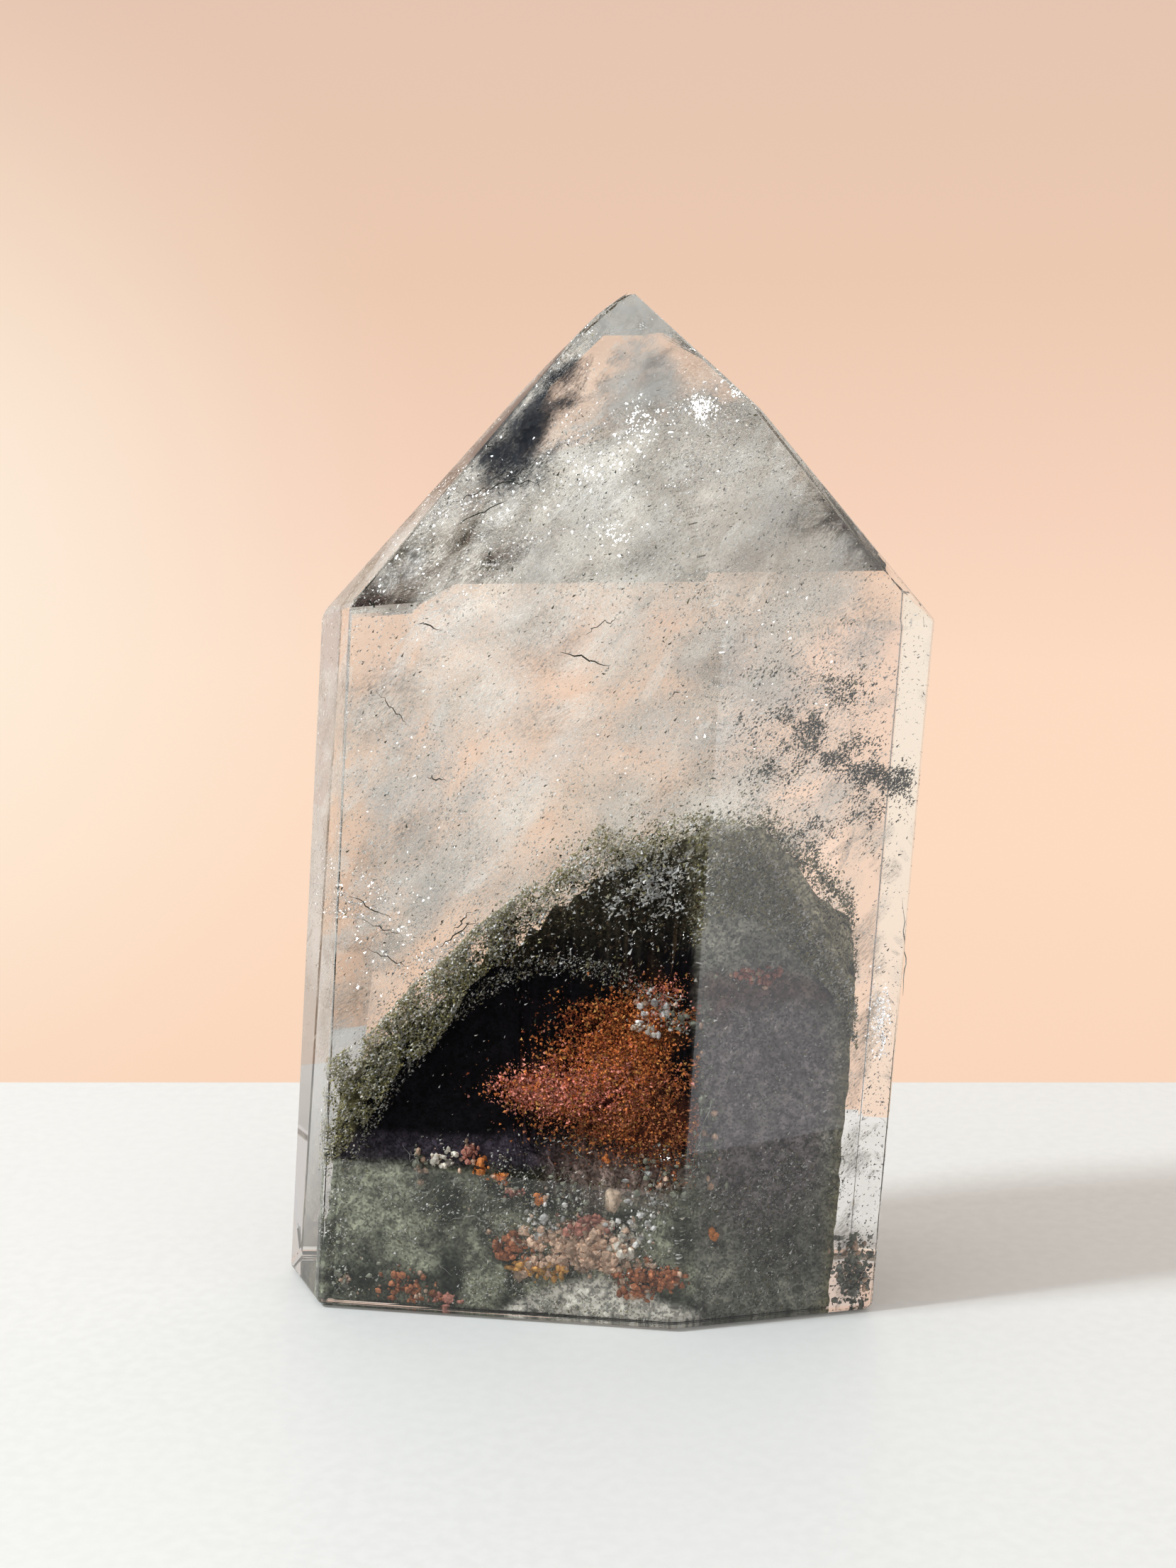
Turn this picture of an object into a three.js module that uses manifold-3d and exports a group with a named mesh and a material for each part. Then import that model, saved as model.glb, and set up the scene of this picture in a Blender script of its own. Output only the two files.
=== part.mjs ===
// Garden quartz tower: a polished point of clear quartz, 75 mm tall, with a dark green mound of chlorite
// grown in its foot, a red bloom of iron oxide in the mound's front and a cluster of pale grains below it.
// Millimetres, +Z up. The broad front faces look towards -Y and the foot stands on z = 0.
import * as THREE from 'three';
import { ConvexGeometry } from 'three/addons/geometries/ConvexGeometry.js';
import { mergeVertices } from 'three/addons/utils/BufferGeometryUtils.js';
import Module from 'manifold-3d';

const wasm = await Module();
wasm.setup();

// Driving dimensions of the crystal
const tip = new THREE.Vector3(2, -6.7, 75);
const shoulderHeight = 52;
const footBevel = 0.5;
const gap = 0.3;

// Upright faces. looks: degrees round from +X. leans: degrees back from upright. reach: distance from the
// axis at the foot. wall: clear quartz left between the face and the garden.
const frontLeft = { looks: 260.6, leans: 3, reach: 10.2, wall: 1.2 };
const uprightFaces = [
  { looks: 203, leans: 4.1, reach: 22.2, wall: 1.2 },
  frontLeft,
  { looks: 284, leans: 1.5, reach: 12.2, wall: 1.2 },
  { looks: 7, leans: -4.3, reach: 19.4, wall: 2.8 },
  { looks: 99, leans: -3, reach: 7.6, wall: 9 },
  { looks: 128, leans: 1, reach: 15.5, wall: 4 },
];

// Sloping faces of the point. Their reach is taken at shoulder height. The front-left upright face has
// none of its own, because it runs on as one plane to the tip.
const slopingFaces = [
  { looks: 195.4, leans: 39, reach: 19.3 },
  { looks: 283.3, leans: 8.5, reach: 10.6 },
  { looks: 7, leans: 40.5, reach: 23.1 },
  { looks: 99, leans: 37, reach: 11.1 },
  { looks: 128, leans: 39.4, reach: 14.3 },
];

// Small flatter faces that the polishing left round the tip. Each passes through the tip.
const tipFaces = [
  { looks: 195, leans: 50.5 },
  { looks: 286, leans: 13.5 },
  { looks: 7, leans: 48.5 },
  { looks: 99, leans: 45 },
  { looks: 128, leans: 48 },
];

// The mound's skyline just behind the front faces, as [x, z] from left to right
const skyline = [
  [-22, 17.5], [-13, 25.5], [-5, 32.5], [0, 36], [4, 35.5], [10, 38], [13.5, 36.5], [17, 30], [21, 23],
];
const skylineY = -8;

// How the mound goes on from there: its height falls by backFall for each mm towards the back, its crest
// runs backShear to the right, and left of the skyline's end it falls by leftFall
const backFall = 0.3;
const backShear = 0.5;
const leftFall = 2.5;
const lowestMound = 1;

// The block that the mound is shaped from, its cells, and its underside and the pocket's, below the foot
const moundBlock = { width: 56, depth: 32, height: 10 };
const moundCells = [40, 20];
const blockUnderside = -2;
const pocketUnderside = -1;

// Soft lumps are a sum of waves. height is in mm; x, y and z are radians for each mm.
const waves = [
  { height: 0.5, x: 0.9, y: 0.6, z: 0.4, start: 0 },
  { height: 0.35, x: 1.7, y: -1.1, z: 0.9, start: 1 },
  { height: 0.25, x: -1.9, y: 2.6, z: 2.1, start: 2 },
];
const wavesOnABall = 3;

// The bloom is one lumpy lens that rises to the right
const bloom = {
  radii: [7.2, 2.4, 4.4],
  centre: new THREE.Vector3(0.4, -7.4, 18.6),
  rise: 24,
  roughness: 0.16,
  detail: 7,
};

// The pale cluster is an oval of grains grown into each other. Grains get smaller towards its edge.
const grains = { count: 9, radius: 1.25, smaller: 0.25, roughness: 0.12, detail: 2, turn: 40 };
const clusterOval = [2.9, 1.3];
const clusterCentre = new THREE.Vector3(-1.2, -7.6, 6.2);
const goldenAngle = Math.PI * (3 - Math.sqrt(5));

const colours = { quartz: 0xe6e2dc, chlorite: 0x1d2419, ironOxide: 0x9c4630, paleGrain: 0xb79f8b };
const upwards = new THREE.Vector3(0, 0, 1);
const sameCorner = 1e-3;
const onPlane = 1e-5;

// A face's direction out of the stone
function outwardNormal({ looks, leans }) {
  const back = THREE.MathUtils.degToRad(leans);
  const normal = new THREE.Vector3(Math.cos(back), 0, Math.sin(back));
  return normal.applyAxisAngle(upwards, THREE.MathUtils.degToRad(looks));
}

function planeThrough(face, point) {
  return new THREE.Plane().setFromNormalAndCoplanarPoint(outwardNormal(face), point);
}

function facePlane(face, height) {
  const point = new THREE.Vector3(face.reach, 0, height);
  return planeThrough(face, point.applyAxisAngle(upwards, THREE.MathUtils.degToRad(face.looks)));
}

function crystalPlanes() {
  const others = uprightFaces.filter((face) => face !== frontLeft);
  const upright = [planeThrough(frontLeft, tip), ...others.map((face) => facePlane(face, 0))];
  const sloping = slopingFaces.map((face) => facePlane(face, shoulderHeight));
  const atTip = tipFaces.map((face) => planeThrough(face, tip));
  const bevels = uprightFaces.map((face) => {
    const bevel = { looks: face.looks, leans: -45, reach: face.reach - footBevel };
    return facePlane(bevel, 0);
  });
  const foot = new THREE.Plane(new THREE.Vector3(0, 0, -1), 0);
  return [...upright, ...sloping, ...atTip, ...bevels, foot];
}

// The space that the mound may fill: the upright faces moved in by their walls
function innerPlanes(clearance, bottom) {
  const sides = uprightFaces.map((face) => {
    const plane = facePlane(face, 0);
    plane.constant += face.wall + clearance;
    return plane;
  });
  const top = new THREE.Plane(new THREE.Vector3(0, 0, 1), -shoulderHeight);
  const floor = new THREE.Plane(new THREE.Vector3(0, 0, -1), bottom);
  return [...sides, top, floor];
}

// The point where three planes meet, or null where they don't
function cornerOf(a, b, c) {
  const bc = b.normal.clone().cross(c.normal);
  const ca = c.normal.clone().cross(a.normal);
  const ab = a.normal.clone().cross(b.normal);
  const spread = a.normal.dot(bc);
  if (Math.abs(spread) < onPlane) return null;
  return bc.multiplyScalar(-a.constant).addScaledVector(ca, -b.constant)
    .addScaledVector(ab, -c.constant).divideScalar(spread);
}

// The convex solid inside a set of planes, from the corners where three of them meet
function solidInside(planes) {
  const corners = [];
  for (let i = 0; i < planes.length; i += 1) {
    for (let j = i + 1; j < planes.length; j += 1) {
      for (let k = j + 1; k < planes.length; k += 1) {
        const corner = cornerOf(planes[i], planes[j], planes[k]);
        const inside = corner && planes.every((plane) => plane.distanceToPoint(corner) < onPlane);
        if (inside && !corners.some((other) => other.distanceTo(corner) < sameCorner)) corners.push(corner);
      }
    }
  }
  return solidOf(new ConvexGeometry(corners));
}

function solidOf(geometry) {
  const bare = geometry.clone();
  bare.deleteAttribute('normal');
  bare.deleteAttribute('uv');
  const merged = mergeVertices(bare);
  return new wasm.Manifold(new wasm.Mesh({
    numProp: 3,
    vertProperties: Float32Array.from(merged.attributes.position.array),
    triVerts: Uint32Array.from(merged.index.array),
  }));
}

function geometryOf(solid) {
  const mesh = solid.getMesh();
  const geometry = new THREE.BufferGeometry();
  geometry.setAttribute('position', new THREE.BufferAttribute(mesh.vertProperties, 3));
  geometry.setIndex(new THREE.BufferAttribute(mesh.triVerts, 1));
  return geometry;
}

function lumps(x, y, z) {
  return waves.reduce(
    (sum, wave) => sum + wave.height * Math.sin(wave.x * x + wave.y * y + wave.z * z + wave.start),
    0,
  );
}

// The skyline's height at x, on the straight line between the two points beside it
function skylineHeight(x) {
  const next = THREE.MathUtils.clamp(skyline.findIndex(([right]) => right > x), 1, skyline.length - 1);
  const [[x0, z0], [x1, z1]] = [skyline[next - 1], skyline[next]];
  return THREE.MathUtils.mapLinear(x, x0, x1, z0, z1);
}

function moundHeight(x, y) {
  const back = y - skylineY;
  const along = x - backShear * back;
  const leftEnd = skyline[0][0];
  const crest = skylineHeight(Math.max(along, leftEnd)) - leftFall * Math.max(0, leftEnd - along);
  return Math.max(lowestMound, crest - backFall * back + lumps(x, y, 0));
}

// The mound's surface, moved outwards by grow, so that the pocket clears the mound all over
function grownHeight(x, y, grow) {
  const reach = 0.1;
  const slopeX = (moundHeight(x + reach, y) - moundHeight(x - reach, y)) / (2 * reach);
  const slopeY = (moundHeight(x, y + reach) - moundHeight(x, y - reach)) / (2 * reach);
  return moundHeight(x, y) + grow * Math.hypot(1, slopeX, slopeY);
}

// A block whose top face is the mound's surface, cut to the inner space
function moundSolid(grow, bottom) {
  const { width, depth, height } = moundBlock;
  const block = new THREE.BoxGeometry(width, depth, height, ...moundCells, 1);
  const position = block.attributes.position;
  for (let i = 0; i < position.count; i += 1) {
    const isTop = position.getZ(i) > 0;
    position.setZ(i, isTop ? grownHeight(position.getX(i), position.getY(i), grow) : blockUnderside);
  }
  return solidOf(block).intersect(solidInside(innerPlanes(gap - grow, bottom)));
}

// A ball with soft lumps, in units of its radii, grown outwards by grow mm
function lumpyBall(radii, { roughness, detail }, grow, centre, rise) {
  const ball = new THREE.IcosahedronGeometry(1, detail);
  const position = ball.attributes.position;
  const point = new THREE.Vector3();
  for (let i = 0; i < position.count; i += 1) {
    point.fromBufferAttribute(position, i);
    const across = point.clone().multiplyScalar(wavesOnABall);
    const swell = 1 + roughness * lumps(across.x + centre.x, across.y, across.z + centre.z);
    point.set(...radii.map((radius, axis) => (radius * swell + grow) * point.getComponent(axis)));
    position.setXYZ(i, point.x, point.y, point.z);
  }
  ball.rotateY(-THREE.MathUtils.degToRad(rise));
  ball.translate(centre.x, centre.y, centre.z);
  return solidOf(ball);
}

function bloomSolid(grow) {
  return lumpyBall(bloom.radii, bloom, grow, bloom.centre, bloom.rise);
}

// Grains fused into one cluster, spread over its oval by the golden angle
function clusterSolid(grow) {
  let cluster = null;
  for (let i = 0; i < grains.count; i += 1) {
    const out = Math.sqrt((i + 0.5) / grains.count);
    const centre = clusterCentre.clone();
    centre.x += clusterOval[0] * out * Math.cos(goldenAngle * i);
    centre.z += clusterOval[1] * out * Math.sin(goldenAngle * i);
    const radius = grains.radius * (1 - grains.smaller * out);
    const grain = lumpyBall([radius, radius, radius], grains, grow, centre, grains.turn * i);
    cluster = cluster ? cluster.add(grain) : grain;
  }
  return cluster;
}

function piece(name, solid, colour, finish) {
  const material = new THREE.MeshStandardMaterial({ color: colour, metalness: 0, ...finish });
  const mesh = new THREE.Mesh(geometryOf(solid), material);
  mesh.name = name;
  return mesh;
}

const crystal = solidInside(crystalPlanes());
const pocket = moundSolid(gap, pocketUnderside);
const mound = moundSolid(0, gap);
const garden = mound.subtract(bloomSolid(gap)).subtract(clusterSolid(gap));
const ironOxide = bloomSolid(0).intersect(mound);
const paleGrains = clusterSolid(0).intersect(mound);
const clearFinish = { roughness: 0.05, transparent: true, opacity: 0.35 };

const tower = new THREE.Group();
tower.add(piece('quartz_tower', crystal.subtract(pocket), colours.quartz, clearFinish));
tower.add(piece('chlorite_garden', garden, colours.chlorite, { roughness: 0.8 }));
tower.add(piece('iron_oxide_bloom', ironOxide, colours.ironOxide, { roughness: 0.85 }));
tower.add(piece('pale_grain_cluster', paleGrains, colours.paleGrain, { roughness: 0.7 }));

// The origin is under the middle of the stone's box
const middle = new THREE.Box3().setFromObject(tower.children[0]).getCenter(new THREE.Vector3());
tower.position.set(-middle.x, -middle.y, 0);

export default tower;
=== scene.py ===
"""Looks of the garden quartz tower: a clear polished crystal with a dark mineral garden in its foot.

Sizes are in millimetres in the CAD frame: +X right and +Z up as the front is seen, -Y towards the viewer.
Places inside the stone are given as (x, z) on its front faces and a depth along the line of sight.
"""
import math

import bmesh
import bpy
import numpy as np
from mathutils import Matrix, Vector
from mathutils.bvhtree import BVHTree


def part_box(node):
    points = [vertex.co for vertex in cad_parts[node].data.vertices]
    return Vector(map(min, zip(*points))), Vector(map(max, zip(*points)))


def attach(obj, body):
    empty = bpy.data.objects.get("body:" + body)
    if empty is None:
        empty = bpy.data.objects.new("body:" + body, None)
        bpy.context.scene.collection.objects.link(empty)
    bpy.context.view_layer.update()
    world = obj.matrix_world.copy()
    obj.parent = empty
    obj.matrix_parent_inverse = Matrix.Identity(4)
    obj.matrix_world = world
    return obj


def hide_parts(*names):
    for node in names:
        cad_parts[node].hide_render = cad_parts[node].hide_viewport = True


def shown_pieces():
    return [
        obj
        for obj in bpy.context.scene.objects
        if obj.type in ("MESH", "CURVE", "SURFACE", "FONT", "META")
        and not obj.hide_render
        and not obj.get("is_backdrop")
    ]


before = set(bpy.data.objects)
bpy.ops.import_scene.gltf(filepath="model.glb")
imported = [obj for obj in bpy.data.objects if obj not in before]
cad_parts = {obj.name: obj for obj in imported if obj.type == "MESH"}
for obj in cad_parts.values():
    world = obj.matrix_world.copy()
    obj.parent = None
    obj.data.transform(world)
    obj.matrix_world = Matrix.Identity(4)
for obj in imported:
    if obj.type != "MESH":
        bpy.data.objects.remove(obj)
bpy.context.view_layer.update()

MM = 0.001
EYE = np.array([-0.76, -164.3, 67.6])
PITCH_DOWN = 10.0
FOCAL_PX = 3100.0
PHOTO_HEIGHT_PX = 2212
SENSOR = 36.0
QUARTZ_IOR = 1.54

# The floor is a slab whose back edge is the photo's horizon
SLAB_X = (-160.0, 160.0)
SLAB_Y = (-52.0, 48.5)
SLAB_THICKNESS = 12.0
SLAB_CLEARANCE = 0.03
SLAB_ROUNDING = 1.5

# The key light travels to the right and a little to the back
KEY_HEADING = 14.0
KEY_HEIGHT = 46.5
KEY_DISTANCE = 800.0
KEY_DIAMETER = 110.0
KEY_WATTS = 3.6
KEY_COLOUR = (0.90, 0.97, 1.0)
KEY_AIM = np.array((0.0, 0.0, 30.0))

# Its light inside the stone comes from nearby, and makes up for what the smoky quartz takes on the way
INSIDE_DISTANCE = 180.0
INSIDE_WATTS = 0.60
INSIDE_COLOUR = (0.75, 0.88, 0.98)

# Direction of the bright part of the room that the right front face mirrors
ROOM_LIGHT = (0.53, -0.82, -0.18)

BLACK = (0.006, 0.005, 0.007)
DARK_GREEN = (0.030, 0.034, 0.022)
OLIVE = (0.25, 0.23, 0.12)
PALE_OLIVE = (0.50, 0.47, 0.34)
GREY_GREEN = (0.30, 0.31, 0.25)
WHITE = (0.86, 0.86, 0.85)
CREAM = (0.80, 0.75, 0.66)
PINK = (1.0, 0.42, 0.33)
ORANGE = (0.85, 0.31, 0.10)
BROWN = (0.28, 0.075, 0.035)
RUST = (0.46, 0.18, 0.09)
DULL_PINK = (0.50, 0.22, 0.17)
BEIGE = (0.66, 0.46, 0.34)
SAND = (0.70, 0.38, 0.12)

# Lines on the front as (x, z): the top of the black core, and the outer edge of the olive fringe
CORE_LINE = [
    (-22, 10), (-18.5, 13.5), (-15.8, 17.4), (-14.7, 19.5), (-12.1, 21.2), (-10.5, 23.8), (-9.5, 25.9),
    (-7.5, 27.5), (-1.1, 27.9), (1.2, 27.2), (6.5, 28.5), (8, 31.8), (11, 31.6), (14, 29), (17, 25.5),
    (19.5, 20),
]
FRINGE_LINE = [
    (-22, 16), (-19.7, 19.3), (-16.8, 21.4), (-13.3, 25.5), (-10.9, 27.4), (-9.2, 29.4), (-7, 31.1),
    (-5.3, 32.6), (-3.3, 33.7), (-1.9, 35.1), (0.2, 37.6), (2.6, 36.2), (6.4, 38.5), (9.9, 37.8),
    (13.2, 34.2), (15.2, 30.8), (17.2, 27.6), (18.8, 24.8), (19.8, 21.5), (20.5, 16),
]

# The solid mound lies this far under the CAD mound's top, and its right shoulder lower still
FRINGE_DEPTH = 1.2
SHOULDER_DROP = 3.2

# Mist in the healed cracks: most of it is drawn out up to the right
UP_RIGHT = np.array((0.728, 0.152, 0.668))
STREAK_WIDTH = 0.13
STREAK_SHRINK = 0.75
MIST_COVER = 0.08
STREAK_COVER = 0.42

# Minerals in the quartz have nearly its own refractive index, so their surfaces hardly shine
INNER_SHINE = 0.08

LATTICE = np.random.default_rng(3).random((32, 32, 32))

# How many grains are tried, and how many of them are kept at most
LOOSE_TRIED, LOOSE_KEPT = 60000, 14000
RIM_TRIED, LEFT_RIM_TRIED, RIM_KEPT = 56000, 24000, 35000
FLECKS_TRIED, WHITE_TRIED, FLECKS_KEPT = 110000, 2600, 26000
BLOOM_TRIED, BLOOM_KEPT = 60000, 34000
DUST_TRIED, DARK_TRIED, CLUMPS_TRIED, DUST_KEPT = 88000, 6500, 20000, 40000
MIST_TRIED, SMOKE_AND_SHADE_TRIED, GLINTS_TRIED = 1350, 230, 2400


# Small helpers for arrays

def soft(value, low, high):
    """0 below low, 1 above high, smooth between them."""
    part = np.clip((value - low) / (high - low), 0.0, 1.0)
    return part * part * (3.0 - 2.0 * part)


def unit(vectors):
    return vectors / np.linalg.norm(vectors, axis=-1, keepdims=True)


def between_corners(grid, low, part):
    """Values of a grid part of the way from its corners low to the next ones. The grid repeats."""
    total = np.zeros(len(part))
    for corner in np.ndindex((2,) * grid.ndim):
        share = np.where(corner, part, 1.0 - part).prod(axis=1)
        total += share * grid[tuple(((low + corner) % grid.shape).T)]
    return total


def noise(points, size):
    """Smooth noise from 0 to 1, with lumps about size mm across."""
    low = np.floor(points / size).astype(int)
    return between_corners(LATTICE, low, soft(points / size - low, 0.0, 1.0))


def rough_noise(points, size, octaves=3):
    """Noise from 0 to 1 with finer noise on it, each octave half the size and half the strength."""
    total = sum(noise(points + 7.3 * k, size / 2**k) / 2**k for k in range(octaves))
    return total / (2.0 - 0.5 ** (octaves - 1))


def along(line, x):
    """Height at x on a line given as (x, z) points."""
    xs, zs = zip(*line)
    return np.interp(x, xs, zs)


def pick(rng, count, colours, shares, vary=0.25):
    """One colour for each grain, with its brightness varied."""
    chosen = np.array(colours)[rng.choice(len(colours), count, p=np.array(shares) / sum(shares))]
    return chosen * rng.uniform(1 - vary, 1 + vary, (count, 1))


def in_clumps(rng, points, size, gaps):
    """True for points in clumps about size mm across. Noise below the first of gaps keeps none."""
    return rough_noise(points, size) > rng.uniform(*gaps, len(points))


def drawn_out(points, shrink):
    """Points pulled together along UP_RIGHT, so that noise on them is drawn out that way."""
    return points - shrink * (points @ UP_RIGHT)[:, None] * UP_RIGHT


def strewn(rng, count, spot):
    """Random (x, z) places in a spot, which starts with x, z, half width and half height."""
    return rng.normal(size=(count, 2)) * spot[2:4] + spot[:2]


def strewn_tinted(rng, spots, counts, others, shares, vary):
    """Places and tints of grains in spots, whose fifth value is a colour that is mixed with others."""
    places, tints = [], []
    for spot, count in zip(spots, counts):
        places.append(strewn(rng, count, spot))
        tints.append(pick(rng, count, [spot[4], *others], shares, vary))
    return np.concatenate(places), np.concatenate(tints)


# Node helpers

def node(tree, kind, inputs=None, **settings):
    """Adds a shader node. Inputs are values or other nodes' sockets."""
    made = tree.nodes.new("ShaderNode" + kind)
    for name, value in settings.items():
        setattr(made, name, value)
    for name, value in (inputs or {}).items():
        if isinstance(value, bpy.types.NodeSocket):
            tree.links.new(value, made.inputs[name])
        else:
            made.inputs[name].default_value = value
    return made


def mix(tree, factor, a, b):
    """Mixes two colours and returns the socket of the result."""
    return node(tree, "Mix", {0: factor, 6: a, 7: b}, data_type="RGBA").outputs[2]


def step_between(tree, value, low, high, out=(0.0, 1.0)):
    """Smooth step of a socket's value from low to high."""
    limits = {"Value": value, "From Min": low, "From Max": high, "To Min": out[0], "To Max": out[1]}
    return node(tree, "MapRange", limits, interpolation_type="SMOOTHSTEP").outputs[0]


def noise_value(tree, place, scale, detail):
    return node(tree, "TexNoise", {"Vector": place, "Scale": scale, "Detail": detail}).outputs["Fac"]


def scaled(tree, vector, scale):
    return node(tree, "VectorMath", {0: vector, "Scale": scale}, operation="SCALE").outputs[0]


def place_on(tree):
    """Socket of the place on a piece, in metres."""
    return node(tree, "TexCoord").outputs["Object"]


def tint_on(tree):
    """Sockets of the tint that the mesh carries."""
    return node(tree, "Attribute", attribute_name="tint").outputs


def new_material(name, values):
    """A material with some values set on its shader, its node tree, and the shader's inputs."""
    material = bpy.data.materials.new(name)
    material.use_nodes = True
    inputs = material.node_tree.nodes["Principled BSDF"].inputs
    for socket, value in values.items():
        inputs[socket].default_value = value
    return material, material.node_tree, inputs


# Meshes

def add(name, data):
    """A new object in the scene."""
    made = bpy.data.objects.new(name, data)
    bpy.context.scene.collection.objects.link(made)
    return made


def mesh_object(name, vertices, faces, material, tints=None, smooth=False):
    """An object from vertices in mm and lists of corners. tints is one colour for each vertex."""
    mesh = bpy.data.meshes.new(name)
    mesh.from_pydata((np.asarray(vertices) * MM).tolist(), [], faces)
    if tints is not None:
        layer = mesh.color_attributes.new("tint", "FLOAT_COLOR", "POINT")
        rgba = np.column_stack([tints, np.ones(len(tints))])[:, :4]
        layer.data.foreach_set("color", rgba.astype(np.float32).ravel())
    mesh.polygons.foreach_set("use_smooth", [smooth] * len(mesh.polygons))
    mesh.materials.append(material)
    return add(name, mesh)


def strips(index):
    """Four-cornered faces between neighbouring rows of corners, where each row closes into a ring."""
    beside = np.roll(index, -1, axis=1)
    return np.stack([index[:-1], index[1:], beside[1:], beside[:-1]], axis=-1).reshape(-1, 4).tolist()


def fan(middle, ring):
    """Three-cornered faces between a ring of corners and one corner in its middle."""
    return [[middle, *pair] for pair in zip(ring.tolist(), np.roll(ring, -1).tolist())]


def keep(piece, slot, *nodes):
    """A finished piece rides on the stone and stands for the nodes that it replaces. slot is not used."""
    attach(piece, "root")
    if nodes:
        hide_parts(*nodes)
    return piece


SPLINTER = np.array([(1.0, 0.0, -0.35), (-0.5, 0.87, -0.35), (-0.5, -0.87, -0.35), (0.0, 0.0, 1.0)]) * 0.5
SPLINTER_FACES = np.array([(0, 2, 1), (0, 1, 3), (1, 2, 3), (2, 0, 3)])


def turned(rng, count, direction, spread):
    """Directions round a given one, or any direction."""
    free = rng.normal(size=(count, 3))
    return unit(free if direction is None else unit(np.asarray(direction, float)) + spread * free)


def grains(name, slot, rng, centres, lengths, tints, material, width=0.6, thickness=0.35, scale=1.0,
           long=UP_RIGHT, thin=None, spread=0.4, nodes=()):
    """Thousands of closed four-sided grains in one mesh, most of them small.

    lengths is the least and the most of their length, and width and thickness are shares of it. long is the
    direction that they lie along, thin is the direction that a flake's flat side faces.
    """
    count = len(centres)
    low, high = lengths
    length = low + (high - low) * rng.random(count) ** 2.5
    sizes = length[:, None] * np.array([1.0, width, thickness]) * rng.uniform(0.7, 1.3, (count, 3)) * scale
    if thin is not None:
        across = -turned(rng, count, thin, spread)
        first = unit(np.cross(across, rng.normal(size=(count, 3))))
    else:
        first = turned(rng, count, long, spread)
        across = unit(np.cross(first, rng.normal(size=(count, 3))))
    axes = np.stack([first, np.cross(across, first), across], axis=1) * sizes[:, :, None]
    vertices = (centres[:, None] + SPLINTER @ axes).reshape(-1, 3)
    faces = (SPLINTER_FACES + 4 * np.arange(count)[:, None, None]).reshape(-1, 3).tolist()
    piece = mesh_object(name, vertices, faces, material, np.repeat(tints, 4, axis=0))
    return keep(piece, slot, *nodes)


# The stone's planes, read from the frame

def convex(name, weld):
    """The convex hull of a CAD node as a bmesh in mm, with corners nearer than weld merged."""
    hull = bmesh.new()
    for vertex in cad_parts[name].data.vertices:
        hull.verts.new(vertex.co / MM)
    bmesh.ops.remove_doubles(hull, verts=hull.verts, dist=weld)
    made = bmesh.ops.convex_hull(hull, input=hull.verts)
    inner = made["geom_interior"] + made["geom_unused"]
    loose = {part for part in inner if isinstance(part, bmesh.types.BMVert)}
    bmesh.ops.delete(hull, geom=list(loose), context="VERTS")
    bmesh.ops.recalc_face_normals(hull, faces=hull.faces)
    return hull


SAME_PLANE = 0.99995


def planes_of(name, least_area, steepest=1.0):
    """Flat faces of a node's hull as rows of normal x, y, z and distance, sorted round +Z."""
    hull = convex(name, weld=0.02)
    found = []
    for face in hull.faces:
        same = next((row for row in found if row[0].dot(face.normal) > SAME_PLANE), None)
        if same:
            same[2] += face.calc_area()
        else:
            found.append([face.normal.copy(), face.normal.dot(face.verts[0].co), face.calc_area()])
    hull.free()
    wanted = [row for row in found if row[2] > least_area and abs(row[0].z) <= steepest]
    rows = [[*normal, reach] for normal, reach, _ in wanted]
    return np.array(sorted(rows, key=lambda row: math.atan2(row[1], row[0]) % math.tau))


def walls_of(name, upright):
    """Planes along the crystal's upright faces that just touch a node inside it."""
    corners = np.array([vertex.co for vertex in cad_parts[name].data.vertices]) / MM
    return np.array([[*plane[:3], (corners @ plane[:3]).max()] for plane in upright])


CRYSTAL_PLANES = planes_of("quartz_tower", least_area=1.0)
WALL_PLANES = walls_of("chlorite_garden", planes_of("quartz_tower", least_area=60.0, steepest=0.12))

# Planes face the viewer when their normal's y is below this
FACES_FRONT = -0.5
FRONT_PLANES = CRYSTAL_PLANES[CRYSTAL_PLANES[:, 1] < FACES_FRONT]
FRONT_WALLS = WALL_PLANES[WALL_PLANES[:, 1] < FACES_FRONT]


def depth_inside(points, planes=CRYSTAL_PLANES):
    """How far inside the nearest plane each point is, in mm."""
    return (planes[:, 3] - points @ planes[:, :3].T).min(axis=1)


def front_of(planes, x, z):
    """The plane in front at (x, z), and the point on it there."""
    ys = planes[:, 3] - np.outer(x, planes[:, 0]) - np.outer(z, planes[:, 2])
    ys = ys / planes[:, 1]
    nearest = ys.argmax(axis=1)
    points = np.column_stack([x, ys[np.arange(len(ys)), nearest], z])
    return planes[nearest, :3], points


def bent_sight(normals, points):
    """Direction of the line of sight inside the stone, behind points on its front faces."""
    sight = unit(points - EYE)
    facing = -(sight * normals).sum(axis=1, keepdims=True)
    inward = np.sqrt(1.0 - (1.0 - facing**2) / QUARTZ_IOR**2)
    return sight / QUARTZ_IOR + (facing / QUARTZ_IOR - inward) * normals


def behind(x, z, depth):
    """Points at a depth behind (x, z) on the front faces, along the refracted line of sight."""
    x, z, depth = np.broadcast_arrays(*(np.atleast_1d(np.asarray(v, float)) for v in (x, z, depth)))
    normals, points = front_of(FRONT_PLANES, x, z)
    return points + bent_sight(normals, points) * depth[:, None]


MOUND_LOW, MOUND_HIGH = (np.array(corner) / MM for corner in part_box("chlorite_garden"))


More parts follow.
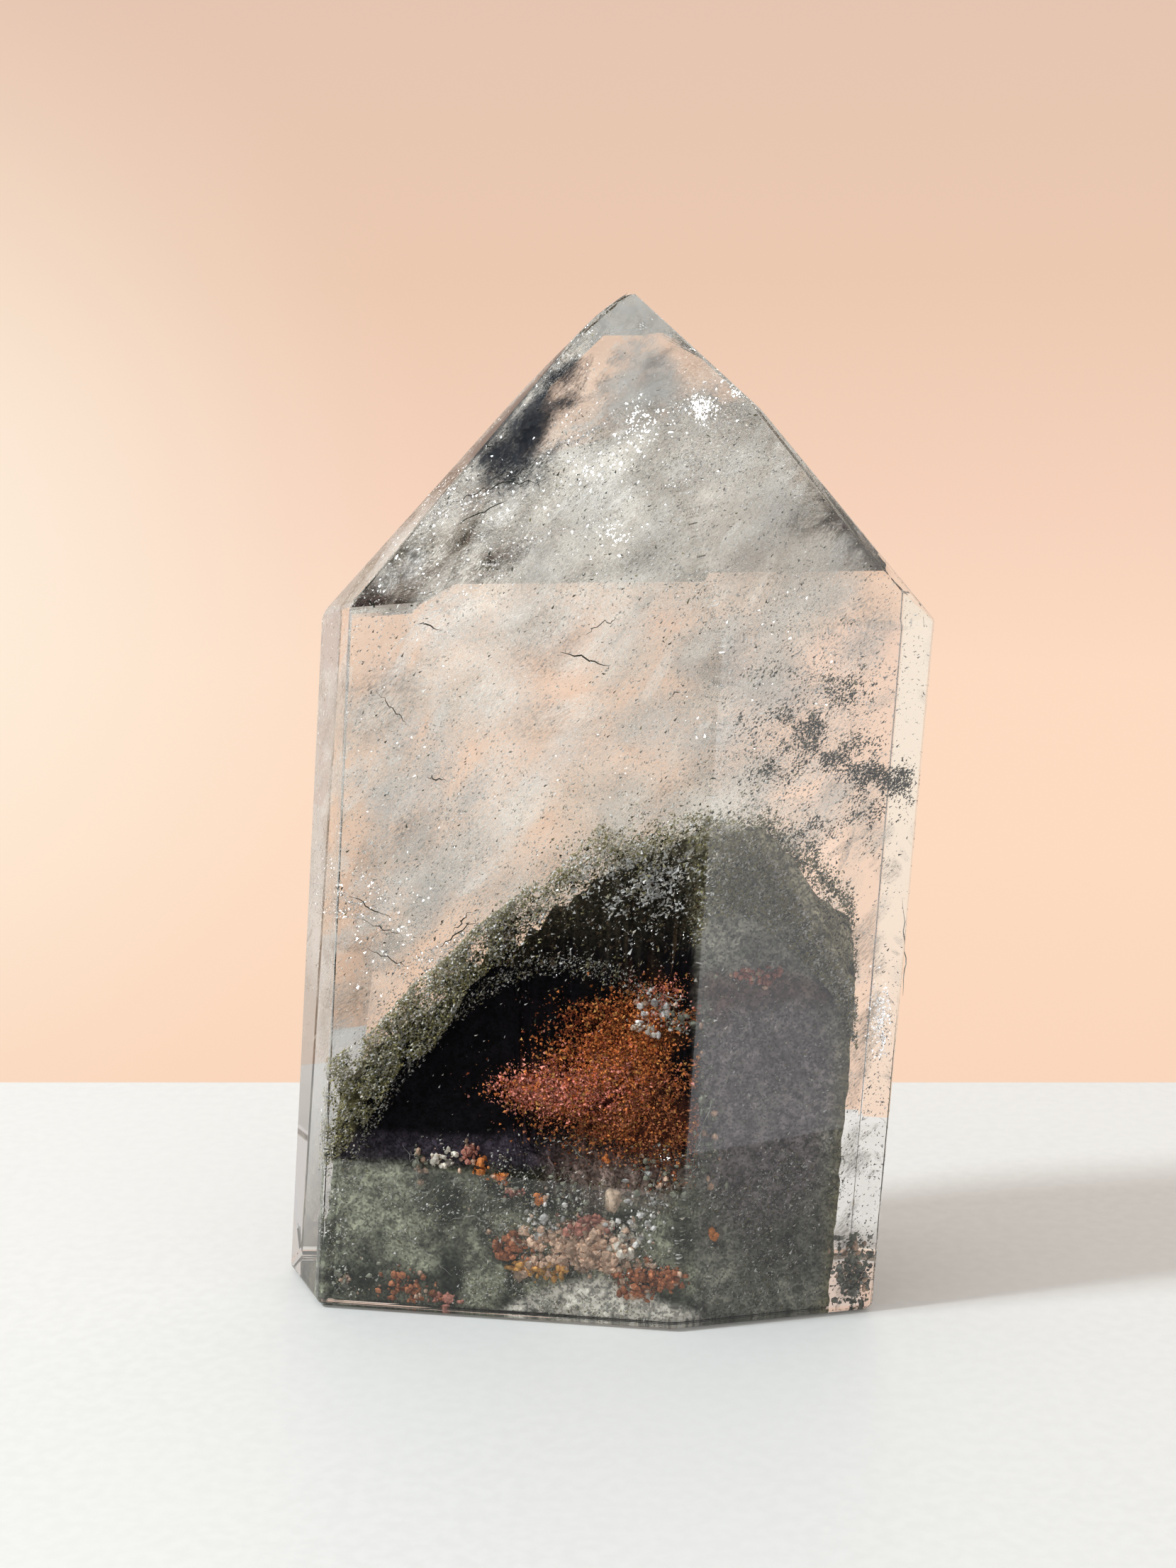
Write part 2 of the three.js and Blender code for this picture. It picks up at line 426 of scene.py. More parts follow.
def height_map(step=0.4, above=90.0, least_level=0.25):
    """The height of the CAD mound's top over its plan, as a function made from a grid of rays."""
    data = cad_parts["chlorite_garden"].data
    corners, faces = [v.co / MM for v in data.vertices], [p.vertices[:] for p in data.polygons]
    tree = BVHTree.FromPolygons(corners, faces)
    heights = np.full(np.ceil((MOUND_HIGH - MOUND_LOW)[:2] / step).astype(int) + 1, np.nan)
    for i, j in np.ndindex(*heights.shape):
        start = Vector((*(MOUND_LOW[:2] + step * np.array((i, j))), above))
        hit, normal, _, _ = tree.ray_cast(start, Vector((0, 0, -1)))
        if hit and normal.z > least_level:
            heights[i, j] = hit.z

    # Cells without a height take the mean of the known ones beside them
    while np.isnan(heights).any():
        padded = np.pad(heights, 1, mode="edge")
        around = np.stack([padded[:-2, 1:-1], padded[2:, 1:-1], padded[1:-1, :-2], padded[1:-1, 2:]])
        known = ~np.isnan(around)
        mean = np.where(known, around, 0.0).sum(axis=0) / known.sum(axis=0).clip(1)
        heights = np.where(np.isnan(heights) & known.any(axis=0), mean, heights)

    def height(plan):
        place = (plan - MOUND_LOW[:2]) / step
        low = np.clip(np.floor(place).astype(int), 0, np.array(heights.shape) - 2)
        return between_corners(heights, low, np.clip(place - low, 0.0, 1.0))

    return height


mound_top = height_map()


def shoulder_drop(plan):
    """How far the mound's right shoulder lies below the CAD mound's top."""
    return SHOULDER_DROP * soft(plan[:, 0], 10.5, 17.5)


def solid_top(plan):
    """Top of the mound's solid part, which the loose grains of the fringe cover."""
    hollows = soft(rough_noise(np.column_stack([plan, np.zeros(len(plan))]), 4.0), 0.35, 0.75)
    top = mound_top(plan) - FRINGE_DEPTH * (0.5 + 1.5 * hollows) - shoulder_drop(plan)
    return np.maximum(top, MOUND_LOW[2] + 0.4)


def in_clear(points, room):
    """True for points in the clear stone, at least room mm behind its faces."""
    outside = (points[:, 2] > mound_top(points[:, :2])) | (depth_inside(points, WALL_PLANES) < 0)
    return (depth_inside(points) > room) & outside


def in_spots(rng, count, spots, depths, clump=1.2, gaps=(0.25, 0.75)):
    """Points inside the clear stone, seen in spots of the front: (x, z, half width, half height, share)."""
    total = sum(spot[4] for spot in spots)
    x, z = np.concatenate([strewn(rng, int(count * spot[4] / total), spot) for spot in spots]).T
    points = behind(x, z, rng.uniform(*depths, len(x)))
    return points[in_clear(points, 0.2) & in_clumps(rng, points, clump, gaps)]


# Camera, floor and light

def make_camera():
    data = bpy.data.cameras.new("camera")
    data.sensor_width = SENSOR
    data.lens = FOCAL_PX / PHOTO_HEIGHT_PX * SENSOR
    data.clip_start = 10.0 * MM
    camera = add("camera", data)
    camera.location = EYE * MM
    camera.rotation_euler = (math.radians(90.0 - PITCH_DOWN), 0.0, 0.0)
    bpy.context.scene.camera = camera


def marble_material():
    material, tree, inputs = new_material("pale_marble", {"Roughness": 0.45})
    place = place_on(tree)
    pale = mix(tree, noise_value(tree, place, 22.0, 6.0), (0.85, 0.87, 0.87, 1), (0.93, 0.95, 0.95, 1))
    speckled = step_between(tree, noise_value(tree, place, 900.0, 3.0), 0.3, 0.7)
    tree.links.new(mix(tree, speckled, pale, (0.92, 0.94, 0.94, 1)), inputs["Base Color"])
    return material


def make_floor():
    (x0, x1), (y0, y1) = SLAB_X, SLAB_Y
    z0, z1 = -SLAB_THICKNESS, -SLAB_CLEARANCE
    corners = [(x, y, z) for z in (z0, z1) for x, y in ((x0, y0), (x1, y0), (x1, y1), (x0, y1))]
    faces = [(3, 2, 1, 0), (4, 5, 6, 7), (0, 1, 5, 4), (1, 2, 6, 5), (2, 3, 7, 6), (3, 0, 4, 7)]
    floor = mesh_object("floor", corners, faces, marble_material())
    rim = floor.modifiers.new("rim", "BEVEL")
    rim.width = SLAB_ROUNDING * MM
    rim.segments = 4
    floor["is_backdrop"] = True
    return floor


def key_travel():
    """Direction that the key light travels in."""
    heading, height = math.radians(KEY_HEADING), math.radians(KEY_HEIGHT)
    level = math.cos(height)
    return np.array([math.cos(heading) * level, math.sin(heading) * level, -math.sin(height)])


def group_of(name, pieces):
    group = bpy.data.collections.new(name)
    for piece in pieces:
        group.objects.link(piece)
    return group


def make_key(name, lit, distance, watts, colour, blockers=None):
    """The key light for some pieces. The one for what is inside the stone shines through crystal and mist."""
    data = bpy.data.lights.new(name, "AREA")
    data.shape = "DISK"
    data.size = KEY_DIAMETER * distance / KEY_DISTANCE * MM
    data.energy = watts
    data.color = colour
    key = add(name, data)
    travel = Vector(key_travel())
    key.location = (Vector(KEY_AIM) - travel * distance) * MM
    key.rotation_mode = "QUATERNION"
    key.rotation_quaternion = travel.to_track_quat("-Z", "Y")
    key.light_linking.receiver_collection = group_of(name + "_lights", lit)
    if blockers:
        key.light_linking.blocker_collection = group_of(name + "_blockers", blockers)


# The backdrop's colour by how far up a direction of unit length points
BACKDROP = [
    (-0.35, (0.94, 0.66, 0.49)), (-0.20, (0.98, 0.71, 0.535)), (-0.12, (0.98, 0.71, 0.54)),
    (-0.05, (0.92, 0.645, 0.50)), (0.05, (0.835, 0.585, 0.44)), (0.17, (0.785, 0.56, 0.44)),
]
BACKDROP_LOW, BACKDROP_HIGH = -0.35, 0.25

# Round patches of the world: the backdrop's bright middle and a dark part of the room
BACKDROP_GLOW = (-0.33, 0.94, -0.08)
ROOM_DARK = (-0.40, -0.92, -0.03)


def make_world():
    """A peach backdrop behind the stone, a pale ceiling, and a plain grey room in front of it."""
    world = bpy.data.worlds.new("studio")
    world.use_nodes = True
    world.cycles.sampling_method = "NONE"
    bpy.context.scene.world = world
    tree = world.node_tree
    direction = node(tree, "TexCoord").outputs["Generated"]
    parts = node(tree, "SeparateXYZ", {"Vector": direction}).outputs

    def near(centre, edge, middle):
        """1 in the middle of a round patch of the world, 0 outside it."""
        away = node(tree, "VectorMath", {0: direction, 1: centre}, operation="DISTANCE")
        return step_between(tree, away.outputs["Value"], edge, middle)

    limits = {"Value": parts["Z"], "From Min": BACKDROP_LOW, "From Max": BACKDROP_HIGH}
    ramp = node(tree, "ValToRGB", {"Fac": node(tree, "MapRange", limits).outputs[0]})
    elements = ramp.color_ramp.elements
    for number, (up, colour) in enumerate(BACKDROP):
        stop = (up - BACKDROP_LOW) / (BACKDROP_HIGH - BACKDROP_LOW)
        element = elements.new(stop) if number else elements[0]
        element.position, element.color = stop, (*colour, 1.0)
    elements.remove(elements[-1])
    backdrop = mix(tree, near(BACKDROP_GLOW, 0.30, 0.0), ramp.outputs[0], (1.0, 0.87, 0.72, 1))

    room = mix(tree, near(ROOM_DARK, 0.8, 0.42), (0.66, 0.66, 0.68, 1), (0.012, 0.012, 0.015, 1))
    room = mix(tree, near(ROOM_LIGHT, 0.45, 0.22), room, (1.8, 1.8, 1.85, 1))
    sides = mix(tree, step_between(tree, parts["Y"], -0.25, 0.45), room, backdrop)
    ceiling = mix(tree, step_between(tree, parts["Z"], 0.25, 0.7), sides, (0.68, 0.65, 0.61, 1))
    tree.links.new(ceiling, tree.nodes["Background"].inputs["Color"])


# Materials of the stone

def quartz_material():
    values = {"Base Color": (1.0, 1.0, 1.0, 1.0), "Roughness": 0.0, "IOR": QUARTZ_IOR}
    material, tree, _ = new_material("clear_quartz", {**values, "Transmission Weight": 1.0})
    smoke = node(tree, "VolumeAbsorption", {"Color": (0.74, 0.70, 0.66, 1.0), "Density": 16.0})
    tree.links.new(smoke.outputs[0], tree.nodes["Material Output"].inputs["Volume"])
    return material


def mist_material():
    """A healed crack: fine pale streaks that run up to the right, with clear quartz between them.

    The tint's fourth value is how much of the crack is left, from 0 at its rim to 1 in the middle.
    """
    material, tree, inputs = new_material("mist", {"Roughness": 0.5, "Specular IOR Level": INNER_SHINE})
    place, tint = place_on(tree), tint_on(tree)
    reach = node(tree, "VectorMath", {0: place, 1: UP_RIGHT}, operation="DOT_PRODUCT").outputs["Value"]
    shorter = scaled(tree, scaled(tree, UP_RIGHT, reach), STREAK_SHRINK)
    drawn = node(tree, "VectorMath", {0: place, 1: shorter}, operation="SUBTRACT").outputs[0]
    streaks = noise_value(tree, drawn, 1.0 / (STREAK_WIDTH * MM), 1.5)
    streaky = step_between(tree, streaks, 0.44, 0.70, (MIST_COVER, STREAK_COVER))
    faded = node(tree, "Math", {0: streaky, 1: tint["Alpha"]}, operation="MULTIPLY").outputs[0]
    tree.links.new(faded, inputs["Alpha"])
    tree.links.new(tint["Color"], inputs["Base Color"])
    return material


def mineral_material(name, roughness, grain=None, variation=None, metallic=0.0):
    """A mineral in its mesh's tints. A grain size makes it granular, and loose grains need none."""
    values = {"Roughness": roughness, "Metallic": metallic, "Specular IOR Level": INNER_SHINE}
    material, tree, inputs = new_material(name, values)
    place = place_on(tree)
    if grain:
        cells = node(tree, "TexVoronoi", {"Vector": place, "Scale": 1.0 / (grain * MM)})
        value = node(tree, "SeparateColor", {"Color": cells.outputs["Color"]}).outputs[0]
        light = step_between(tree, value, 0.0, 1.0, (1.0 - variation, 1.0 + variation))
        fine = noise_value(tree, place, 0.4 / (grain * MM), 4.0)
        bump = node(tree, "Bump", {"Height": fine, "Strength": 0.5, "Distance": 0.1 * MM})
        tree.links.new(bump.outputs[0], inputs["Normal"])
    else:
        light = step_between(tree, noise_value(tree, place, 3.0 / MM, 2.0), 0.2, 0.8, (0.85, 1.1))
    tree.links.new(scaled(tree, tint_on(tree)["Color"], light), inputs["Base Color"])
    return material


# The clear crystal

CRISP_EDGE, GROUND_EDGE = 0.2, 0.5
BACK_LEFT = Vector((-0.62, 0.78, 0.0))


def make_crystal():
    """The crystal's outer shape with its edges rounded a little, the ground ones at the back left more."""
    hull = convex("quartz_tower", weld=0.65)
    bmesh.ops.dissolve_limit(hull, angle_limit=math.radians(1.5), verts=hull.verts, edges=hull.edges)
    weight = hull.edges.layers.float.new("bevel_weight_edge")
    for edge in hull.edges:
        turn = math.degrees(edge.calc_face_angle())
        middle = (edge.verts[0].co + edge.verts[1].co) / 2
        back_left = min(face.normal.dot(BACK_LEFT) for face in edge.link_faces) > 0.2
        width = GROUND_EDGE if back_left and middle.z > 2 else CRISP_EDGE
        edge[weight] = width / GROUND_EDGE if turn > 4 else 0.0
    mesh = bpy.data.meshes.new("clear_quartz")
    bmesh.ops.scale(hull, vec=(MM, MM, MM), verts=hull.verts)
    hull.to_mesh(mesh)
    hull.free()
    mesh.materials.append(quartz_material())
    crystal = add("clear_quartz", mesh)
    bevel = crystal.modifiers.new("edges", "BEVEL")
    bevel.limit_method = "WEIGHT"
    bevel.width = GROUND_EDGE * MM
    bevel.segments = 3
    return keep(crystal, "clear_quartz", "quartz_tower")


# The dark mound

# Stain under the red patch's grains as (x, z, half width, half height, colour)
BLOOM_GROUND = [
    (3, 16, 4.2, 3.4, (0.115, 0.038, 0.022)), (1.6, 20.6, 2.6, 2.4, (0.17, 0.062, 0.022)),
    (4, 22.4, 2.6, 2.2, (0.17, 0.062, 0.022)), (-1.2, 17.3, 3.8, 1.5, (0.34, 0.11, 0.085)),
    (-4.8, 17.2, 2, 0.8, (0.22, 0.08, 0.06)),
]


def dark_crest(x):
    """1 where the top of the mound is brown-black, 0 where it is olive."""
    return soft(x, -8.5, -4.5) * soft(8.0 - x, 0.0, 2.0)


def painted(colour, layers):
    """A colour with others painted over it in turn, each by its own share."""
    for other, share in layers:
        colour = np.array(colour) * (1 - share[:, None]) + np.array(other) * share[:, None]
    return colour


def mound_tints(points):
    """Colour of the mound by place: black core, olive rim, grey-green foot and right side, painted floor
    light at the base.
    """
    x, z = points[:, 0], points[:, 2]
    wander = 3.0 * (rough_noise(points, 2.2) - 0.5)
    blotch = rough_noise(points + 40.0, 2.6, octaves=4)
    blotchy = soft(blotch, 0.36, 0.70)
    front = 1.0 - soft(depth_inside(points, FRONT_PLANES), 2.0, 3.5)
    core, edge = along(CORE_LINE, x), along(FRINGE_LINE, x)
    outward = (z - core + 1.8 * wander) / (edge - core)
    rim, crest = soft(outward, -0.05, 0.3), dark_crest(x)

    back = painted((0.035, 0.042, 0.028), [((0.10, 0.11, 0.07), blotchy)])
    foot = painted((0.035, 0.042, 0.028), [((0.46, 0.48, 0.36), blotchy)])
    purple = soft(7.0 - np.hypot(x - 12.0, 0.6 * (z - 17.0)) + wander, 0.0, 3.0)
    right = painted((0.15, 0.15, 0.13), [
        ((0.42, 0.42, 0.35), soft(blotch, 0.30, 0.75)),
        ((0.28, 0.24, 0.26), 0.8 * purple),
        ((0.55, 0.54, 0.45), 0.8 * soft(z + wander, 25.0, 31.0)),
    ])
    violet_band = 0.9 * soft(1.6 - np.abs(z - 12.4 + 0.3 * wander), 0.0, 1.0) * soft(-x, -2, 6)
    brown_patch = soft(3.2 - np.hypot(0.45 * (x - 1.5), z - 11.3) + 0.5 * wander, 0.0, 2.0)
    stains = []
    for cx, cz, wide, high, colour in BLOOM_GROUND:
        away = np.hypot((x - cx) / wide, (z - cz) / high)
        stains.append((colour, front * soft(1.25 - away + 0.25 * wander, 0.0, 0.7)))
    red_band = soft(1.8 - np.abs(z - 25.0 + 1.4 * wander), 0.0, 1.5) * soft(x, 6.5, 8.0)
    # Painted light: a near white patch low on the base stands in for floor light seen through the clear
    # quartz there
    floor_light_patch = soft(3.3 - 0.14 * np.abs(x - 0.3) ** 1.5 - z + 0.3 * wander, -0.4, 0.4)
    body = painted(back, [
        (BLACK, front),
        (foot, soft(11.8 - z + 0.6 * wander, -1.0, 2.0)),
        ((0.070, 0.058, 0.080), violet_band),
        ((0.36, 0.26, 0.23), 0.8 * brown_patch),
        *stains,
        (right, soft(x + 0.3 * wander, 6.6, 7.4)),
        ((0.15, 0.075, 0.06), 0.7 * front * red_band),
        ((0.035, 0.028, 0.02), rim * crest),
        (OLIVE, rim * (1 - 0.9 * crest)),
        (PALE_OLIVE, soft(outward, 0.4, 1.0) * (1 - 0.8 * crest)),
        (OLIVE, soft(x - 0.07 * z + 0.5 * wander, 15.5, 17.5)),
        ((0.95, 0.92, 0.82), floor_light_patch),
    ])
    return body * (0.15 + 1.7 * rough_noise(points, 0.45)[:, None] ** 1.3)


def footprint(z):
    """Corners of the mound's plan at a height, one for each pair of neighbouring walls."""
    pairs = zip(WALL_PLANES, np.roll(WALL_PLANES, -1, axis=0))
    return np.array([np.linalg.solve([a[:2], b[:2]], [a[3] - a[2] * z, b[3] - b[2] * z]) for a, b in pairs])


# Distance between the mound's corners round its plan, and how many rows up its walls and rings on its top
FRONT_SPACING, SPACING, MOUND_ROWS, MOUND_RINGS = 0.24, 0.45, 110, 40


def make_mound(material):
    """The mound: walls close behind the crystal's faces, and the CAD mound's top, with a granular relief."""
    foot, reference = MOUND_LOW[2], 40.0
    low, high = footprint(foot), footprint(reference)

    # Walk round the plan: a point is a share of the way from one corner to the next
    starts, shares = [], []
    for side in range(len(low)):
        following = (side + 1) % len(low)
        spacing = FRONT_SPACING if WALL_PLANES[following][1] < FACES_FRONT else SPACING
        count = math.ceil(np.linalg.norm(low[following] - low[side]) / spacing)
        starts += [side] * count
        shares += [i / count for i in range(count)]
    starts, shares = np.array(starts), np.array(shares)[:, None]
    ends = (starts + 1) % len(low)

    def outline(z):
        part = ((z - foot) / (reference - foot))[:, None]
        a = low[starts] + (high[starts] - low[starts]) * part
        b = low[ends] + (high[ends] - low[ends]) * part
        return a + (b - a) * shares

    centre = low.mean(axis=0)
    rim = np.full(len(starts), 30.0)
    for _ in range(6):
        rim = solid_top(centre + (outline(rim) - centre) * 0.97)
        rim = sum(np.roll(rim, shift) for shift in range(-4, 5)) / 9.0
    heights = [foot + (rim - foot) * row / MOUND_ROWS for row in range(MOUND_ROWS + 1)]
    walls = np.concatenate([np.column_stack([outline(z), z]) for z in heights])
    inward = unit(np.column_stack([centre - walls[:, :2], np.zeros(len(walls))]))
    walls += inward * (0.05 + 0.45 * rough_noise(walls, 0.9))[:, None]
    rim_plan = outline(rim)
    inner_rings = [rim_plan + (centre - rim_plan) * ring / MOUND_RINGS for ring in range(1, MOUND_RINGS)]
    plans = np.concatenate(inner_rings)
    tops = np.column_stack([plans, solid_top(plans)])
    tops[:, 2] += 1.4 * (rough_noise(tops, 1.2) - 0.5)
    ends_of_axis = np.array([[*centre, solid_top(centre[None])[0]], [*centre, foot]])
    vertices = np.concatenate([walls, tops, ends_of_axis])

    index = np.arange(len(vertices) - 2).reshape(-1, len(starts))
    peak, bottom = len(vertices) - 2, len(vertices) - 1
    faces = [face[:1] + face[:0:-1] for face in strips(index)]
    faces += fan(peak, index[-1]) + [face[::-1] for face in fan(bottom, index[0])]
    mound = mesh_object("dark_mound", vertices, faces, material, mound_tints(vertices), smooth=True)
    keep(mound, "chlorite", "chlorite_garden")


def make_fringe(material):
    """Loose grains over the mound's top, and in the clear wall in front of its upper edge."""
    rng = np.random.default_rng(11)
    plan = rng.uniform(MOUND_LOW[:2], MOUND_HIGH[:2], (LOOSE_TRIED, 2))
    loose = rng.exponential(0.75, len(plan)) - 0.3
    points = np.column_stack([plan, mound_top(plan) - shoulder_drop(plan) + loose])
    points = points[(depth_inside(points, WALL_PLANES) > 0.1) & (depth_inside(points) > 0.3)]
    points = points[in_clumps(rng, points, 1.1, (0.1, 0.75))][:LOOSE_KEPT]
    tints = pick(rng, len(points), [OLIVE, PALE_OLIVE, DARK_GREEN, CREAM], [5, 4, 3, 1])

    x = np.concatenate([rng.uniform(-21.5, 20.5, RIM_TRIED), rng.uniform(-21.5, -6.0, LEFT_RIM_TRIED)])
    rng.shuffle(x)
    core, edge = along(CORE_LINE, x), along(FRINGE_LINE, x)
    outward = rng.random(len(x))
    z = core - 0.8 + (edge + 0.8 - core) * outward
    front = behind(x, z, rng.uniform(0.35, 1.6, len(x)))
    kept = (depth_inside(front) > 0.2) & in_clumps(rng, front, 1.0, (0.30, 0.66)) & (x < 19.0)
    dark = pick(rng, len(x), [(0.34, 0.31, 0.14), DARK_GREEN, PALE_OLIVE, WHITE], [6, 2.5, 3, 1.6])
    light = pick(rng, len(x), [(0.38, 0.35, 0.18), PALE_OLIVE, CREAM, WHITE], [3, 4, 2, 3])
    front_tints = np.where((rng.random(len(x)) < outward)[:, None], light, dark)
    crest = dark_crest(x) * soft(1.0 - outward, 0.1, 0.55)
    kept &= rng.random(len(x)) > 0.80 * crest
    sooty = rng.random(len(x)) < 0.85 * crest
    front_tints[sooty] = pick(rng, sooty.sum(), [(0.09, 0.06, 0.035), DARK_GREEN, WHITE], [5, 2, 2.5])
    points = np.concatenate([points, front[kept][:RIM_KEPT]])
    tints = np.concatenate([tints, front_tints[kept][:RIM_KEPT]])
    grains("olive_fringe", "chlorite", rng, points, (0.11, 0.46), tints, material, spread=0.5)


def make_flecks(material):
    """Fine grains just in front of the mound: on its foot, on its right side and on its dark top."""
    rng = np.random.default_rng(17)
    x, z = rng.uniform(-20.5, 18.5, FLECKS_TRIED), rng.uniform(0.4, 37.0, FLECKS_TRIED)
    points = on_wall(x, z, rng.uniform(0.0, 0.3, len(x)))
    dark_left = soft(np.hypot(0.5 * (x + 14.0), z - 12.0), 1.0, 4.0)
    foot = soft(13.8 - z, -0.5, 1.0) * soft(rough_noise(points, 2.4), 0.42, 0.68) * dark_left
    side = 0.3 * soft(x, 6.5, 7.5) * soft(rough_noise(points + 20.0, 2.5), 0.4, 0.7)
    top = soft(z - along(CORE_LINE, x), -0.5, 1.0) * soft(rough_noise(points + 30.0, 1.2), 0.45, 0.7)
    top *= 1.0 - 0.75 * dark_crest(x)
    arc = 1.4 * soft(1.2 - np.abs(z - 26.9 + 0.06 * (x + 2.2) ** 2), 0.0, 0.9) * soft(7.0 - x, 0.0, 1.0)
    bright = 0.9 * soft(rough_noise(points - 15.0, 1.0), 0.52, 0.62)
    bright *= soft(3.4 - np.hypot(0.7 * (x - 3.0), z - 33.2), 0, 1)
    inside = (depth_inside(points) > 0.15) & (z < along(FRINGE_LINE, x) - 0.5)
    kept = inside & (rng.random(len(x)) < 0.6 * np.maximum.reduce([foot, side, 0.6 * top, arc, bright]))

    # White grains on the dark crest, drawn out up to the right and larger than the others
    places = strewn(rng, WHITE_TRIED, (2.6, 33.2, 2.4, 1.6))
    white = on_wall(*places.T, rng.uniform(0.1, 0.6, len(places)))
    drawn = drawn_out(white, 0.75) + 3.0
    white = white[(depth_inside(white) > 0.15) & in_clumps(rng, drawn, 0.7, (0.42, 0.62))]
    points = points[kept][:FLECKS_KEPT]
    scale = np.repeat([1.0, 1.5], [len(points), len(white)])[:, None]
    colours = [GREY_GREEN, (0.45, 0.45, 0.42), WHITE, OLIVE, CREAM]
    tints = pick(rng, len(points), colours, [4, 4, 4, 5, 2], vary=0.4)
    tints = np.concatenate([tints, pick(rng, len(white), [WHITE, CREAM], [3, 1])])
    points = np.concatenate([points, white])
    grains("flecks", "chlorite", rng, points, (0.08, 0.42), tints, material, 0.5, scale=scale, spread=0.7)


# Minerals on the front of the mound

def on_wall(x, z, proud=0.0):
    """Points on the mound's front wall at (x, z), raised towards the viewer."""
    normals, points = front_of(FRONT_WALLS, x, z)
    return points + normals * np.asarray(proud)[..., None]


# Red and orange grains as (x, z, half width, half height, colour, share)
BLOOM_SPOTS = [
    (-2.2, 17.3, 2.3, 0.9, PINK, 6), (-5.4, 17.4, 1.2, 0.5, PINK, 1.4), (0.8, 18.4, 1.8, 1.4, PINK, 2.8),
    (1.2, 20.2, 2.2, 1.4, ORANGE, 4), (3.4, 22.6, 1.6, 1.3, ORANGE, 2.2), (5.2, 24.4, 1.2, 1, PINK, 1),
    (3.6, 17.2, 2.2, 1.8, RUST, 4.4), (1.2, 14.9, 2.8, 1.1, RUST, 2.8), (-0.8, 22.6, 1.5, 0.9, BROWN, 1),
    (5, 14.2, 1.6, 1.5, RUST, 1.6), (5.4, 18, 1.2, 3, CREAM, 0.5), (-3.5, 14.8, 1.4, 0.6, BROWN, 0.5),
    (5, 18.6, 1.4, 2, ORANGE, 1.6), (5.4, 20.4, 1.2, 2.4, RUST, 2.4), (-3, 20, 1.2, 1, ORANGE, 0.5),
]


def make_bloom(material):
    """The red and orange patch: a stipple of grains, dense in its heart and dissolving into the black."""
    rng = np.random.default_rng(21)
    total = sum(spot[5] for spot in BLOOM_SPOTS)
    counts = [int(BLOOM_TRIED * spot[5] / total) for spot in BLOOM_SPOTS]
    mixed, shares = [BROWN, ORANGE, SAND], [5, 1.6, 1.6, 0.9]
    places, tints = strewn_tinted(rng, BLOOM_SPOTS, counts, mixed, shares, vary=0.6)
    points = on_wall(places[:, 0], places[:, 1], rng.uniform(-0.3, 0.2, len(places)))
    kept = in_clumps(rng, drawn_out(points, 0.7), 0.8, (0.25, 0.62)) & (places[:, 0] < 7.2)
    points, tints = points[kept][:BLOOM_KEPT], tints[kept][:BLOOM_KEPT]
    grains("red_bloom", "iron_oxide", rng, points, (0.10, 0.42), tints, material,
           width=0.8, thickness=0.6, long=None, nodes=["iron_oxide_bloom"])


def lumps(name, slot, rng, centres, radii, tints, material, fine=1, nodes=()):
    """Angular lumps in one mesh: small deformed balls."""
    ball = bmesh.new()
    bmesh.ops.create_icosphere(ball, subdivisions=fine, radius=1.0)
    shape = np.array([vertex.co for vertex in ball.verts])
    corners = np.array([[vertex.index for vertex in face.verts] for face in ball.faces])
    ball.free()
    vertices, faces = [], []
    for number, (centre, radius) in enumerate(zip(centres, radii)):
        lumpy = shape * (0.6 + 0.8 * noise(shape * 1.2 + 9.1 * number, 0.8))[:, None]
        vertices.append(centre + lumpy * radius * rng.uniform(0.6, 1.3, 3))
        faces.append(corners + number * len(shape))
    colours = np.repeat(tints, len(shape), axis=0) * rng.uniform(0.8, 1.2, (len(shape) * len(tints), 1))
    faces = np.concatenate(faces).tolist()
    piece = mesh_object(name, np.concatenate(vertices), faces, material, colours, smooth=fine > 1)
    return keep(piece, slot, *nodes)


